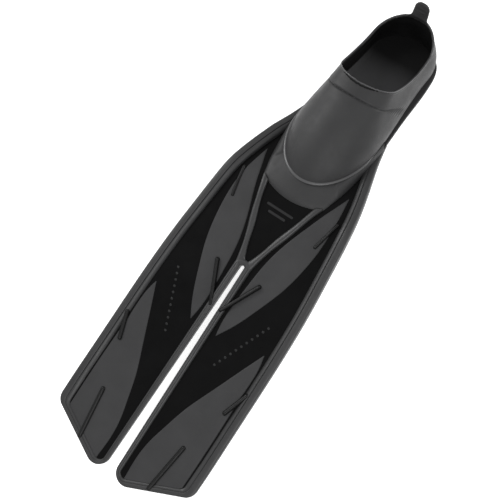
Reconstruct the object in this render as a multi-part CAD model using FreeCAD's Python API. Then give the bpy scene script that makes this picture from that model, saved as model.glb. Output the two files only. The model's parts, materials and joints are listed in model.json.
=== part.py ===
import FreeCAD, Part
import math
import os

V = FreeCAD.Vector

# One full-foot split swim fin. All sizes are in mm.
# Everything is drawn flat first: X is sideways, Y runs from the blade tips (negative)
# to the heel, and Z = 0 is the middle of the blade plate. The foot pocket is then bent
# down from the blade, and the whole fin is set down on its blade tips and heel.

# Plan shape of one half blade (the right one; the left is its mirror image)
OUTER_EDGE = [(110, -276), (110.4, -240), (110, -190), (109, -98), (105, 0),
              (100.5, 50), (95, 100), (84, 150), (75, 180), (66, 210), (60, 236)]
RAIL_WIDTH = 16.0
SLOT_HALF = 3.5
INNER_RAIL_EDGE = 12.0
INNER_RAIL_EDGE_TIP = 14.5
TIP_INNER = (7.8, -326)
TIP_OUTER = (110, -276)
TIP_BORDER = 10.0
INNER_CORNER_R = 17.5
OUTER_CORNER_R = 16.0
FIELD_CORNER_R = 7.0

# Side shape of the rails: (y, z) along the top and along the bottom
RAIL_TOP = [(-330, 3.2), (-150, 5.0), (0, 7.0), (100, 9.0), (175, 10.0), (240, 1.0)]
RAIL_BOTTOM = [(240, -5.0), (0, -5.0), (-150, -4.4), (-330, -3.2)]

# Plate, rubber membranes and what stands on them
PLATE_HALF = 1.2
MEMBRANE_HALF = 2.4
MEMBRANE_CHAMFER = 0.7
UPPER_LEAF_OUTER = [(64, 145), (71, 100), (71.5, 60), (69, 38), (61, 0), (50, -31),
                    (30, -77), (20, -94)]
UPPER_LEAF_INNER = [(20, -94), (18.3, -85), (18.5, -20), (21, 8), (30, 50), (47.5, 98),
                    (64, 145)]
LOWER_LEAF_DIAGONAL = [(86.5, -78), (77, -100), (62.5, -135), (50, -165), (40, -190),
                       (30, -225), (23.5, -252), (21.5, -287)]
LOWER_LEAF_OUTER = [(92.6, -268), (92.5, -190), (91.5, -130), (89.5, -90), (86.5, -78)]
LOWER_LEAF_FOOT = (22.5, -302)

# Ribs: (start, end, width, top height, bevel)
SHOULDER_RIB = ((73.5, 104), (64, 67), 4.5, 4.6, 1.2)
INNER_RIB = ((34, -9), (6.5, -65), 5.5, 7.8, 1.6)
EDGE_RIB = ((96.5, -130), (84, -168), 6.0, 5.8, 1.6)
TIP_RIB = ((66, -230), (56.5, -303), 6.0, 5.0, 1.5)

# Studs along the diagonal band
STUD_COUNT = 11
STUD_START = (72, -48)
STUD_END = (39.5, -124)
STUD_RADIUS = 1.7
STUD_HEIGHT = 0.8
STUD_BEVEL = 0.3

# Throat: window panel, yoke around it and fairing in front of the toes
YOKE_OUTER = [(12, -8), (12, 0), (15, 15), (20, 35), (28, 60), (35, 90), (43, 112)]
FLANK_EDGE = [(43, 112), (51, 140), (57, 170), (60.5, 190), (61.5, 225)]
WINDOW_SIDE = [(36, 107), (25, 72), (17, 50), (11.5, 30), (4.5, 11)]
WINDOW_APEX = (0, 6.5)
WINDOW_TOP_MID = (0, 100)
YOKE_TOP = 5.4
YOKE_BOTTOM = -4.6
BADGE_BARS = [((-20, 84), (20, 84)), ((-13, 76), (13, 76))]
BADGE_WIDTH = 3.4
BADGE_HEIGHT = 0.6
BADGE_BEVEL = 0.2
SKIRT_LOW = -4.6
FAIRING_FRONT_TOP = 2.8
FAIRING_BACK_TOP = 4.6
FAIRING_YS = (90, 101, 124, 136, 190, 230)
ROOT_FIELD_APEX = (60.0, 184.0)
ROOT_FIELD_LOW = -8.0

# Foot pocket outlines, one per height above the sole:
# height, toe y, ball half width, ball y, heel half width, heel y, back y
LAST_ROWS = [(5, 128, 55, 205, 45, 347, 389),
             (15, 125, 57, 205, 47, 347, 391),
             (27, 134, 55.5, 212, 47, 347, 391),
             (40, 153, 51, 225, 44.5, 347, 390),
             (53, 178, 45, 245, 40.5, 347, 388),
             (66, 211, 40, 270, 36.5, 347, 385.5),
             (78, 248, 35, 295, 33, 349, 383.5),
             (90, 288, 29, 320, 29, 352, 381.5)]
TOE_WALL = [5, 5.5, 6.5, 8, 10, 11.5, 13, 14]
SIDE_WALL = 4.0
SOLE_BOTTOM = -5.0
SOLE_ROW = (0, 122, 58.5, 205, 51, 347, 393)
LEAN = 7.0
LEAN_START = 165.0
LEAN_LENGTH = 221.0
SOLE_THICKNESS = 5.0
SOLE_EDGE_R = 1.4
SHANK_HEIGHTS = (5.1, 7.4)
FOOTBED_HEIGHTS = (7.5, 11.0)
INSERT_GAP = 5.0
TREAD_DEPTH = 1.6
TREAD_PITCH = 9.0
TREAD_GROOVE = 2.2
HEEL_TREAD = (302, 380, 38)
FOREFOOT_TREAD = (142, 262, 44)

# Side views (y, height above sole) of the opening and of the pocket's two seams
RIM_CURVE = [(228, 100), (244, 86.5), (258, 77), (276, 65), (300, 54), (325, 48), (350, 50),
             (372, 58), (400, 71)]
RIM_HEIGHT = 4.0
RIM_PROUD = 1.4
FRONT_SEAM = [(222, 110), (238, 70), (262, 45), (280, 20), (288, -5)]
HEEL_SEAM = [(322, 110), (322, 60), (330, 20), (334, -5)]
WELT_PROUD = 2.8
WELT_HEIGHTS = (17.6, 21.4)
WELT_END = 214

# Heel pull tab
TAB_WIDTH = 22.0
TAB_THICKNESS = 3.0
TAB_LOW = 68.2
TAB_LENGTH = 26.0
TAB_TILT = 15.0
TAB_FACE = 382.3
TAB_CORNER_R = 8.7
TAB_EDGE_R = 0.8
TAB_BARREL_R = 1.45
ANCHOR_TOP = 67.5
ANCHOR_LOW = 56.0
ANCHOR_HALF_WIDTHS = (21.0, 11.5)

# Flex lines, bend between blade and foot pocket, and gaps
ROOT_FLEX = -4.5
TIP_FLEX = -178.0
FLEX_GAP = 4.0
WEB_CLEARANCE = 0.3
BEND_LINES = (88.0, 112.0)
BEND_STEP = 8.5
FAR = 500.0


def spline(points):
    """Smooth open curve through plan points."""
    curve = Part.BSplineCurve()
    curve.interpolate([V(x, y, 0) for x, y in points])
    return curve.toShape()


def lines(points):
    """Straight edges through plan points."""
    ends = zip(points, points[1:])
    return [Part.LineSegment(V(a[0], a[1], 0), V(b[0], b[1], 0)).toShape() for a, b in ends]


def prism(edges, low, high):
    """Closed plan edges extruded from one height to another."""
    wire = Part.Wire(Part.__sortEdges__(edges))
    face = Part.Face(wire)
    face.translate(V(0, 0, low))
    return righted(face.extrude(V(0, 0, high - low)))


def righted(solid):
    """The same solid with its faces pointing outwards."""
    if solid.Volume < 0:
        solid.reverse()
    return solid


def slab(y_low, y_high):
    """Block that covers everything between two Y positions."""
    return Part.makeBox(2 * FAR, y_high - y_low, 2 * FAR, V(-FAR, y_low, -FAR))


def side_block(points, curved=None):
    """Block as wide as the fin whose side view is the given (y, z) outline."""
    edges = []
    if curved:
        curve = Part.BSplineCurve()
        curve.interpolate([V(0, y, z) for y, z in curved])
        edges.append(curve.toShape())
    for a, b in zip(points, points[1:]):
        edges.append(Part.LineSegment(V(0, a[0], a[1]), V(0, b[0], b[1])).toShape())
    face = Part.Face(Part.Wire(Part.__sortEdges__(edges)))
    face.translate(V(-FAR, 0, 0))
    return righted(face.extrude(V(2 * FAR, 0, 0)))


def mirrored(shape):
    """The left-hand copy of a right-hand shape."""
    return shape.mirror(V(0, 0, 0), V(1, 0, 0))


def one_solid(shape):
    """The largest solid of a cut, without slivers."""
    solids = sorted(shape.Solids, key=lambda s: abs(s.Volume))
    return righted(solids[-1])


def upright_edges_at(shape, points, reach=1.0):
    """Vertical edges that stand on the given plan points."""
    found = []
    for edge in shape.Edges:
        ends = [v.Point for v in edge.Vertexes]
        if len(ends) < 2 or abs(ends[0].z - ends[1].z) < reach:
            continue
        for x, y in points:
            if math.hypot(ends[0].x - x, ends[0].y - y) < reach:
                found.append(edge)
    return found


def tip_line_y(x, inset=0.0):
    """Y of the slanted tip edge at one X, moved in from the tip by the inset."""
    slope = (TIP_OUTER[1] - TIP_INNER[1]) / (TIP_OUTER[0] - TIP_INNER[0])
    lift = inset * math.hypot(1, slope)
    return TIP_INNER[1] + slope * (x - TIP_INNER[0]) + lift


def half_outline(low, high):
    """Whole half blade, from the slot to the outer edge, with rounded tip corners."""
    top = OUTER_EDGE[-1]
    slot_top = (SLOT_HALF, 0)
    path = [top, (SLOT_HALF, top[1]), slot_top, TIP_INNER, TIP_OUTER]
    solid = prism(lines(path) + [spline(OUTER_EDGE)], low, high)
    solid = solid.makeFillet(INNER_CORNER_R, upright_edges_at(solid, [TIP_INNER]))
    return solid.makeFillet(OUTER_CORNER_R, upright_edges_at(solid, [TIP_OUTER]))


def field_outline(low, high):
    """Area between the rails, from the tip border up to the rails' ends."""
    start_x = OUTER_EDGE[0][0] - RAIL_WIDTH
    foot = (start_x, tip_line_y(start_x, TIP_BORDER))
    inner_foot = (INNER_RAIL_EDGE_TIP, tip_line_y(INNER_RAIL_EDGE_TIP, TIP_BORDER))
    edge = [foot] + [(x - RAIL_WIDTH, y) for x, y in OUTER_EDGE[1:]]
    path = [edge[-1], (INNER_RAIL_EDGE, edge[-1][1]), (INNER_RAIL_EDGE, 0), inner_foot, foot]
    solid = prism(lines(path) + [spline(edge)], low, high)
    return solid.makeFillet(FIELD_CORNER_R, upright_edges_at(solid, [foot, inner_foot]))


def rail_taper():
    """Block that gives the rails their falling height towards the tips."""
    return side_block(RAIL_TOP + RAIL_BOTTOM + RAIL_TOP[:1])


def frame_solid():
    """Outer rail, tip border and inner rail of one half blade."""
    ring = half_outline(-20, 20).cut(field_outline(-30, 30))
    return ring.common(rail_taper())


def softened(solid, size, z_middle=0.0):
    """Chamfer along the long top and bottom edges of a flat piece."""
    picked = []
    for edge in solid.Edges:
        box = edge.BoundBox
        level = box.ZLength < 0.2 * max(box.YLength, box.XLength)
        if level and box.DiagonalLength > 4 * size and abs(box.Center.z - z_middle) > size:
            picked.append(edge)
    return solid.makeChamfer(size, picked)


def upper_leaf(half, grow=0.0):
    """Rubber membrane beside the yoke."""
    edges = [spline(UPPER_LEAF_OUTER), spline(UPPER_LEAF_INNER)]
    return prism(edges, -half - grow, half + grow)


def lower_leaf(half, grow=0.0):
    """Rubber membrane that widens towards the tip."""
    path = [LOWER_LEAF_DIAGONAL[-1], LOWER_LEAF_FOOT, LOWER_LEAF_OUTER[0]]
    edges = [spline(LOWER_LEAF_DIAGONAL), spline(LOWER_LEAF_OUTER)] + lines(path)
    return prism(edges, -half - grow, half + grow)


def bar(start, end, width, low, high, bevel):
    """Straight rib with round ends and bevelled top edges."""
    run = V(end[0] - start[0], end[1] - start[1], 0)
    block = Part.makeBox(run.Length, width, high - low, V(0, -width / 2, 0))
    upright = [e for e in block.Edges if e.BoundBox.ZLength > (high - low) / 2]
    block = block.makeFillet(width * 0.45, upright)
    top = [e for e in block.Edges if e.BoundBox.ZMin > (high - low) - 0.01]
    block = block.makeChamfer(bevel, top)
    angle = math.degrees(math.atan2(run.y, run.x))
    block.rotate(V(0, 0, 0), V(0, 0, 1), angle)
    block.translate(V(start[0], start[1], low))
    return block


def lean(y):
    """Sideways shift of the foot pocket, which curves a little towards one side."""
    share = max(0.0, (y - LEAN_START) / LEAN_LENGTH)
    return LEAN * share ** 1.5


def last_wire(row):
    """Closed foot outline at one height: round toe, straight sides, round heel."""
    height, toe_y, ball, ball_y, heel, heel_y, back_y = row
    side = []
    for angle in (0, 22.5, 45, 67.5, 90):
        t = math.radians(angle)
        side.append((ball * math.sin(t), ball_y - (ball_y - toe_y) * math.cos(t)))
    side.append(((ball + heel) / 2 + 0.6, (ball_y + heel_y) / 2))
    for angle in (90, 60, 30, 0):
        t = math.radians(angle)
        side.append((heel * math.sin(t), heel_y + (back_y - heel_y) * math.cos(t)))
    loop = side + [(-x, y) for x, y in reversed(side[1:-1])]
    curve = Part.BSplineCurve()
    level = SOLE_BOTTOM + height
    points = [V(x + lean(y), y, level) for x, y in loop]
    curve.interpolate(Points=points, PeriodicFlag=True)
    return Part.Wire(curve.toShape())


def last_solid(inset=0.0, toe_insets=None):
    """Solid shape of the foot pocket, moved in (or out) by the given amounts."""
    wires = []
    for index, (height, toe_y, ball, ball_y, heel, heel_y, back_y) in enumerate(LAST_ROWS):
        toe = toe_insets[index] if toe_insets else inset
        row = (height, toe_y + toe, ball - inset, ball_y, heel - inset, heel_y, back_y - inset)
        wires.append(last_wire(row))
    return Part.makeLoft(wires, True, False)


def flat_insert(heights, inset):
    """Flat layer inside the foot pocket, following the lowest outline."""
    _, toe_y, ball, ball_y, heel, heel_y, back_y = LAST_ROWS[0]
    row = (heights[0], toe_y + inset, ball - inset, ball_y, heel - inset, heel_y, back_y - inset)
    face = Part.Face(last_wire(row))
    return face.extrude(V(0, 0, heights[1] - heights[0]))


def raised(points, lift=0.0):
    """(y, height above sole) points as (y, z) points."""
    return [(y, height + SOLE_BOTTOM + lift) for y, height in points]


def above_rim(drop):
    """Everything above the opening's edge, lowered by the given amount."""
    curve = raised(RIM_CURVE, -drop)
    sky = 200
    corner_path = [curve[-1], (curve[-1][0] + 20, curve[-1][1]), (curve[-1][0] + 20, sky),
                   (curve[0][0], sky), curve[0]]
    return side_block(corner_path, curve)


def in_front_of(seam):
    """Everything on the toe side of a seam."""
    curve = raised(seam)
    path = [curve[-1], (-FAR, curve[-1][1]), (-FAR, curve[0][1]), curve[0]]
    return side_block(path, curve)


def pocket_shells():
    """Vamp, ankle collar, heel cup and the bead around the opening."""
    outer = last_solid()
    cavity = last_solid(SIDE_WALL, TOE_WALL)
    wall = outer.cut(cavity).cut(above_rim(RIM_HEIGHT))
    front = in_front_of(FRONT_SEAM)
    middle = in_front_of(HEEL_SEAM)
    vamp = one_solid(wall.common(front))
    collar = wall.common(middle).cut(front)
    heel_cup = one_solid(wall.cut(middle))
    proud = last_solid(-RIM_PROUD)
    bead = proud.cut(cavity).common(above_rim(RIM_HEIGHT)).cut(above_rim(0.0))
    return vamp, one_solid(collar), heel_cup, one_solid(bead)


def outsole():
    """Sole plate with rounded bottom edge."""
    face = Part.Face(last_wire(SOLE_ROW))
    solid = face.extrude(V(0, 0, SOLE_THICKNESS))
    return solid.makeFillet(SOLE_EDGE_R, solid.Edges)


def tread(toe_y, back_y, half_width):
    """Ribbed pad under the sole."""
    low_corner = V(-half_width, toe_y, SOLE_BOTTOM - TREAD_DEPTH)
    pad = Part.makeBox(2 * half_width, back_y - toe_y, TREAD_DEPTH, low_corner)
    upright = [e for e in pad.Edges if e.BoundBox.ZLength > TREAD_DEPTH / 2]
    pad = pad.makeFillet(half_width * 0.85, upright)
    count = int((back_y - toe_y) / TREAD_PITCH)
    for index in range(1, count):
        y = toe_y + index * TREAD_PITCH
        base = SOLE_BOTTOM - TREAD_DEPTH - 1
        corner = V(-half_width - 10, y, base)
        groove = Part.makeBox(2 * half_width + 20, TREAD_GROOVE, TREAD_DEPTH + 0.4, corner)
        pad = pad.cut(groove)
    pad.translate(V(lean((toe_y + back_y) / 2), 0, 0))
    return pad


def toe_welt(pocket):
    """Ridge around the toes where the vamp meets the fairing."""
    proud = last_solid(-WELT_PROUD)
    low, high = [h + SOLE_BOTTOM for h in WELT_HEIGHTS]
    band = Part.makeBox(2 * FAR, WELT_END, high - low, V(-FAR, 0, low))
    return one_solid(proud.cut(pocket).common(band))


def flat_arc(start, middle, end):
    """Plan arc through three points."""
    points = [V(x, y, 0) for x, y in (start, middle, end)]
    return Part.Arc(*points).toShape()


def window_top():
    """Arc along the top of the window, bowed towards the blade tips."""
    high = WINDOW_SIDE[0]
    return flat_arc(high, WINDOW_TOP_MID, (-high[0], high[1]))


def window_edges():
    """Plan edges of the window in the throat."""
    right = spline(WINDOW_SIDE)
    left = spline([(-x, y) for x, y in WINDOW_SIDE])
    low = WINDOW_SIDE[-1]
    apex = flat_arc(low, WINDOW_APEX, (-low[0], low[1]))
    return [right, left, apex, window_top()]


def yoke():
    """Y-shaped frame around the window, ending at the head of the slot."""
    high = YOKE_OUTER[-1]
    low = YOKE_OUTER[0]
    right = spline(YOKE_OUTER)
    left = spline([(-x, y) for x, y in YOKE_OUTER])
    ends = lines([high, (-high[0], high[1])]) + lines([low, (-low[0], low[1])])
    body = prism([right, left] + ends, YOKE_BOTTOM, YOKE_TOP)
    body = body.cut(prism(window_edges(), -20, 20))
    head = Part.makeCylinder(SLOT_HALF, 40, V(0, -SLOT_HALF, -20))
    slot = Part.makeBox(2 * SLOT_HALF, 20, 40, V(-SLOT_HALF, -SLOT_HALF - 20, -20))
    body = body.cut(head).cut(slot)
    body = body.cut(slab(-FAR, ROOT_FLEX + FLEX_GAP / 2))
    return one_solid(body.cut(above_window()))


def above_window():
    """Block over everything heelward of the window's top edge."""
    high = WINDOW_SIDE[0]
    far = 80
    back = 260
    path = [high, (far, high[1]), (far, back), (-far, back), (-far, high[1]), (-high[0], high[1])]
    return prism([window_top()] + lines(path), -30, 30)


def throat_fairing(pocket, sole):
    """Slope from the window up to the toes, running back as a skirt on both sides."""
    edge = YOKE_OUTER[-2:] + FLANK_EDGE[1:]
    right = spline(edge)
    left = spline([(-x, y) for x, y in edge])
    high = edge[-1]
    low = edge[0]
    ends = lines([high, (-high[0], high[1])]) + lines([low, (-low[0], low[1])])
    body = prism([right, left] + ends, -30, 60).common(above_window())
    top = WELT_HEIGHTS[0] + SOLE_BOTTOM
    tops = (FAIRING_FRONT_TOP, FAIRING_FRONT_TOP, top - 3, top, top, FAIRING_BACK_TOP)
    upper = list(zip(FAIRING_YS, tops))
    ends = [(FAIRING_YS[-1], SKIRT_LOW), (FAIRING_YS[0], SKIRT_LOW)]
    body = one_solid(body.common(side_block(upper + ends + upper[:1])))
    body = one_solid(body.cut(pocket))
    return one_solid(body.cut(sole))


def root_field(low, high):
    """Plate area between yoke and outer rail in the fixed part of the blade."""
    inner = YOKE_OUTER + FLANK_EDGE[1:3]
    outer = [(x - RAIL_WIDTH, y) for x, y in OUTER_EDGE if ROOT_FIELD_LOW < y < 160]
    outer_low = (outer[0][0], ROOT_FIELD_LOW)
    inner_edge = spline(inner + [ROOT_FIELD_APEX])
    outer_edge = spline([outer_low] + outer + [ROOT_FIELD_APEX])
    bottom = lines([inner[0], outer_low])
    body = prism([inner_edge, outer_edge] + bottom, low, high)
    return body.cut(slab(-FAR, ROOT_FLEX + FLEX_GAP / 2))


def root_rails(frame, pocket, sole, fairing):
    """Right and left outer rails beside the foot pocket, tapering into its sides."""
    region = Part.makeBox(200, 400, 100, V(40, ROOT_FLEX + FLEX_GAP / 2, -50))
    rail = frame.common(region)
    right = one_solid(rail.cut(pocket).cut(sole).cut(fairing))
    left = one_solid(mirrored(rail).cut(pocket).cut(sole).cut(fairing))
    return right, left


def band_studs():
    """Row of small studs along the diagonal band of the plate."""
    start = V(STUD_START[0], STUD_START[1], PLATE_HALF)
    run = V(STUD_END[0], STUD_END[1], PLATE_HALF) - start
    studs = []
    for index in range(STUD_COUNT):
        spot = start + run * (index / (STUD_COUNT - 1))
        stud = Part.makeCylinder(STUD_RADIUS, STUD_HEIGHT, spot)
        top = [e for e in stud.Edges if e.BoundBox.ZMin > PLATE_HALF + STUD_HEIGHT - 0.01]
        studs.append(stud.makeChamfer(STUD_BEVEL, top))
    return Part.makeCompound(studs)


def window_badge():
    """Two plain raised bars on the window panel."""
    bars = [bar(a, b, BADGE_WIDTH, 0, BADGE_HEIGHT, BADGE_BEVEL) for a, b in BADGE_BARS]
    badge = Part.makeCompound(bars)
    badge.translate(V(0, 0, PLATE_HALF))
    return badge


def tab_pivot():
    """Middle of the pull tab's round lower edge."""
    y = TAB_FACE + TAB_THICKNESS / 2
    return V(lean(y), y, TAB_LOW + SOLE_BOTTOM + TAB_THICKNESS / 2)


def pull_tab():
    """Rounded flap on the back of the opening, hinged about its round lower edge."""
    corner = V(-TAB_WIDTH / 2, -TAB_THICKNESS / 2, -TAB_THICKNESS / 2)
    plate = Part.makeBox(TAB_WIDTH, TAB_THICKNESS, TAB_LENGTH, corner)
    high = corner.z + TAB_LENGTH
    across = [e for e in plate.Edges if e.BoundBox.YLength > TAB_THICKNESS / 2]
    plate = plate.makeFillet(TAB_CORNER_R, [e for e in across if e.BoundBox.ZMin > high - 1])
    upper = [e for e in plate.Edges if e.BoundBox.YLength < 0.01 and e.BoundBox.ZMin > high - 9.5]
    plate = plate.makeFillet(TAB_EDGE_R, upper)
    lower = [e for e in plate.Edges if e.BoundBox.YLength < 0.01 and e.BoundBox.ZMax < corner.z + 0.1]
    plate = plate.makeFillet(TAB_BARREL_R, lower)
    plate.rotate(V(0, 0, 0), V(1, 0, 0), -TAB_TILT)
    plate.translate(tab_pivot())
    return plate


def tab_anchor():
    """Flared rubber rise on the back of the opening that carries the pull tab."""
    wall = last_solid().cut(last_solid(SIDE_WALL, TOE_WALL)).common(above_rim(0.0))
    low, high = ANCHOR_LOW + SOLE_BOTTOM, ANCHOR_TOP + SOLE_BOTTOM
    wide, narrow = ANCHOR_HALF_WIDTHS
    middle = lean(TAB_FACE)
    outline = [(-wide, low), (wide, low), (narrow, high), (-narrow, high), (-wide, low)]
    start = 350
    wire = Part.makePolygon([V(middle + x, start, z) for x, z in outline])
    flare = righted(Part.Face(wire).extrude(V(0, 60, 0)))
    return one_solid(wall.common(flare))


def bend_down(shape):
    """Bend everything beyond the two bend lines down towards the sole."""
    pieces = []
    mitre = BEND_STEP / 2
    edges = [-FAR, BEND_LINES[0], BEND_LINES[1], FAR]
    for index in range(3):
        piece = shape
        for line, keep_heel_side in ((edges[index], True), (edges[index + 1], False)):
            if abs(line) == FAR:
                continue
            tilt = mitre if keep_heel_side else -mitre
            depth = FAR if keep_heel_side else -FAR
            corner = V(-FAR, line if keep_heel_side else line - FAR, -FAR)
            block = Part.makeBox(2 * FAR, FAR, 2 * FAR, corner)
            block.rotate(V(0, line, SOLE_BOTTOM), V(1, 0, 0), tilt)
            piece = piece.common(block)
        for line in reversed(BEND_LINES[:index]):
            piece.rotate(V(0, line, SOLE_BOTTOM), V(1, 0, 0), -BEND_STEP)
        pieces.extend(righted(solid) for solid in piece.Solids)
    whole = pieces[0]
    for piece in pieces[1:]:
        whole = whole.fuse(piece)
    return whole


def bend_point(y, z):
    """Where a flat (y, z) point of the foot pocket ends up after the bend."""
    point = Part.Vertex(V(0, y, z))
    for line in reversed(BEND_LINES):
        if y > line:
            point.rotate(V(0, line, SOLE_BOTTOM), V(1, 0, 0), -BEND_STEP)
    return point.Point


def moved_with_pocket(shape):
    """Turn a piece that lies wholly behind the bend along with the foot pocket."""
    copy = shape.copy()
    for line in reversed(BEND_LINES):
        copy.rotate(V(0, line, SOLE_BOTTOM), V(1, 0, 0), -BEND_STEP)
    return copy


def flex_web(frame, middle, y_middle):
    """Thin rubber web that fills the gap at one flex line."""
    reach = FLEX_GAP / 2 - WEB_CLEARANCE
    gap = slab(y_middle - reach, y_middle + reach)
    plate = middle.common(gap)
    return plate.fuse(frame.common(gap)).removeSplitter()


def build():
    """All sub-parts in the flat drawing, bent where they need it."""
    parts = {}
    pocket = last_solid()
    sole = outsole()
    vamp, collar, heel_cup, bead = pocket_shells()
    fairing = throat_fairing(pocket, sole)
    rigid = {"outsole": sole,
             "heel_tread": tread(*HEEL_TREAD),
             "forefoot_tread": tread(*FOREFOOT_TREAD),
             "sole_shank": flat_insert(SHANK_HEIGHTS, INSERT_GAP),
             "footbed": flat_insert(FOOTBED_HEIGHTS, INSERT_GAP),
             "foot_upper": vamp,
             "ankle_collar": collar,
             "heel_cup": heel_cup,
             "opening_rim": bead,
             "toe_welt": toe_welt(pocket),
             "heel_tab_anchor": tab_anchor(),
             "heel_pull_tab": pull_tab()}
    for name, shape in rigid.items():
        parts[name] = moved_with_pocket(shape)
    parts["throat_fairing"] = bend_down(fairing)
    parts["throat_yoke"] = bend_down(yoke())
    parts["window_panel"] = bend_down(prism(window_edges(), -PLATE_HALF, PLATE_HALF))
    parts["window_badge"] = window_badge()

    frame = frame_solid()
    right_rail, left_rail = root_rails(frame, pocket, sole, fairing)
    parts["right_outer_rail_root"] = bend_down(right_rail)
    parts["left_outer_rail_root"] = bend_down(left_rail)
    for name, shape in blade_parts(frame, right_rail, fairing).items():
        parts["right_" + name] = shape
        parts["left_" + name] = mirrored(shape)
    return parts


def blade_parts(frame, outer_rail, fairing):
    """Sub-parts of the right half blade that the left one mirrors."""
    field = field_outline(-PLATE_HALF, PLATE_HALF)
    upper = softened(upper_leaf(MEMBRANE_HALF), MEMBRANE_CHAMFER)
    lower = lower_leaf(MEMBRANE_HALF)
    holes = upper_leaf(PLATE_HALF, 5).fuse(lower_leaf(PLATE_HALF, 5))
    plate = field.cut(holes)
    root = slab(ROOT_FLEX + FLEX_GAP / 2, FAR)
    mid = slab(TIP_FLEX + FLEX_GAP / 2, ROOT_FLEX - FLEX_GAP / 2)
    tip = slab(-FAR, TIP_FLEX - FLEX_GAP / 2)
    rails_mid = sorted(frame.common(mid).Solids, key=lambda s: s.BoundBox.XMin)
    plate_root = root_field(-PLATE_HALF, PLATE_HALF).cut(holes).cut(fairing).cut(outer_rail)
    return {
        "plate_root": bend_down(one_solid(plate_root)),
        "upper_membrane_root": bend_down(upper.common(root)),
        "shoulder_rib": bend_down(one_solid(rib(SHOULDER_RIB).cut(upper))),
        "outer_rail_mid": rails_mid[1],
        "inner_rail_mid": rails_mid[0],
        "plate_mid": plate.common(mid),
        "upper_membrane_mid": upper.common(mid),
        "lower_membrane_mid": lower.common(mid),
        "inner_rib": one_solid(rib(INNER_RIB).cut(upper).cut(frame).cut(slot_side())),
        "edge_rib": one_solid(rib(EDGE_RIB).cut(lower).cut(frame)),
        "band_studs": band_studs(),
        "tip_frame": frame.common(tip),
        "plate_tip": plate.common(tip),
        "lower_membrane_tip": lower.common(tip),
        "tip_rib": one_solid(rib(TIP_RIB).cut(lower).cut(frame)),
        "root_flex": flex_web(frame, field.cut(holes).fuse(upper), ROOT_FLEX),
        "tip_flex": flex_web(frame, field.cut(holes).fuse(lower), TIP_FLEX)}


def rib(sizes):
    """Rib standing on the plate."""
    start, end, width, top, bevel = sizes
    return bar(start, end, width, PLATE_HALF, top, bevel)


def slot_side():
    """Everything on the slot's side of the half blade's inner edge."""
    far_x = -40
    head = 20
    path = [(far_x, head), (SLOT_HALF, head), (SLOT_HALF, 0), TIP_INNER, (far_x, TIP_INNER[1])]
    return prism(lines(path + path[:1]), -head, head)


def resting_pitch():
    """Angle that sets the fin down on its blade tips and the back of its heel."""
    heel = bend_point(SOLE_ROW[6], SOLE_BOTTOM)
    tip_y = TIP_INNER[1] + INNER_CORNER_R * 0.6
    return -math.degrees(math.atan2(heel.z + RAIL_TOP[0][1], heel.y - tip_y))


def main():
    parts = build()
    pitch = resting_pitch()
    for shape in parts.values():
        shape.rotate(V(0, 0, 0), V(1, 0, 0), pitch)
    whole = Part.makeCompound(list(parts.values()))
    box = whole.optimalBoundingBox(True, False)
    shift = V(0, -(box.YMin + box.YMax) / 2, -box.ZMin)
    for name, shape in parts.items():
        shape.translate(shift)
        shape.exportStep("parts/" + name + ".step")
        print(name, len(shape.Solids), round(shape.Volume), shape.isValid())
    print("pitch", pitch, "shift", shift, "box", box)
    print("tab pivot", moved_with_pocket(Part.Vertex(tab_pivot())).Point)


main()
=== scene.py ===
import json
import math
import bmesh
import bpy
import numpy as np
from mathutils import Matrix, Vector


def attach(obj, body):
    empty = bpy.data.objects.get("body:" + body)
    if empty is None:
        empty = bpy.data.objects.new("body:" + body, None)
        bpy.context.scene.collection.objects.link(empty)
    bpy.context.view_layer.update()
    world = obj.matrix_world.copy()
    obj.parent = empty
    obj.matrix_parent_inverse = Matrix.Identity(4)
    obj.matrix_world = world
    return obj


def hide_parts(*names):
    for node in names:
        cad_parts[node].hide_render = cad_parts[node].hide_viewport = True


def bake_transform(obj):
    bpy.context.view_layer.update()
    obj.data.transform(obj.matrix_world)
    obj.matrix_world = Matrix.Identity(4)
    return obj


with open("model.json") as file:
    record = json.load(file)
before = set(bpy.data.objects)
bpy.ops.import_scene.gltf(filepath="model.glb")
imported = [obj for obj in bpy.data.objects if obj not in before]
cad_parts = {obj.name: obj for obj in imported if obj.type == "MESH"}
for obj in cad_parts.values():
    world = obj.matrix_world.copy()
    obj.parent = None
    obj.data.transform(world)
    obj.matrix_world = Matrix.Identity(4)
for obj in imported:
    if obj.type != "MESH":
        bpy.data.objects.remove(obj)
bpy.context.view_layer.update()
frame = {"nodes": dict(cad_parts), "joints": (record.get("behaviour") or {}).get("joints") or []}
MM = 0.001

# ---------------------------------------------------------------- driving dimensions (mm)
# One full-foot split swim fin.
# The fin is drawn flat, as in the CAD: X sideways, Y from the blade tips to the heel,
# Z = 0 in the middle of the blade plate. place() then bends and sets it down.
OUTER_EDGE = [(110, -276), (110.4, -240), (110, -190), (109, -98), (105, 0),
              (100.5, 50), (95, 100), (84, 150), (75, 180), (66, 210), (60, 236)]
RAIL_WIDTH = 16.0
SLOT_HALF = 3.5
INNER_RAIL_EDGE = 12.0
INNER_RAIL_EDGE_TIP = 14.5
TIP_INNER = (7.8, -326)
TIP_OUTER = (110, -276)
TIP_BORDER = 10.0
INNER_CORNER_R = 17.5
OUTER_CORNER_R = 16.0
FIELD_CORNER_R = 7.0
RAIL_TOP = [(-330, 3.2), (-150, 5.0), (0, 7.0), (100, 9.0), (175, 10.0), (240, 1.0)]
RAIL_BOTTOM = [(-330, -3.2), (-150, -4.4), (0, -5.0), (240, -5.0)]
PLATE_HALF = 1.2
MEMBRANE_HALF = 2.4
UPPER_LEAF_OUTER = [(64, 145), (71, 100), (71.5, 60), (69, 38), (61, 0), (50, -31),
                    (30, -77), (20, -94)]
UPPER_LEAF_INNER = [(20, -94), (18.3, -85), (18.5, -20), (21, 8), (30, 50), (47.5, 98),
                    (64, 145)]
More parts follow.
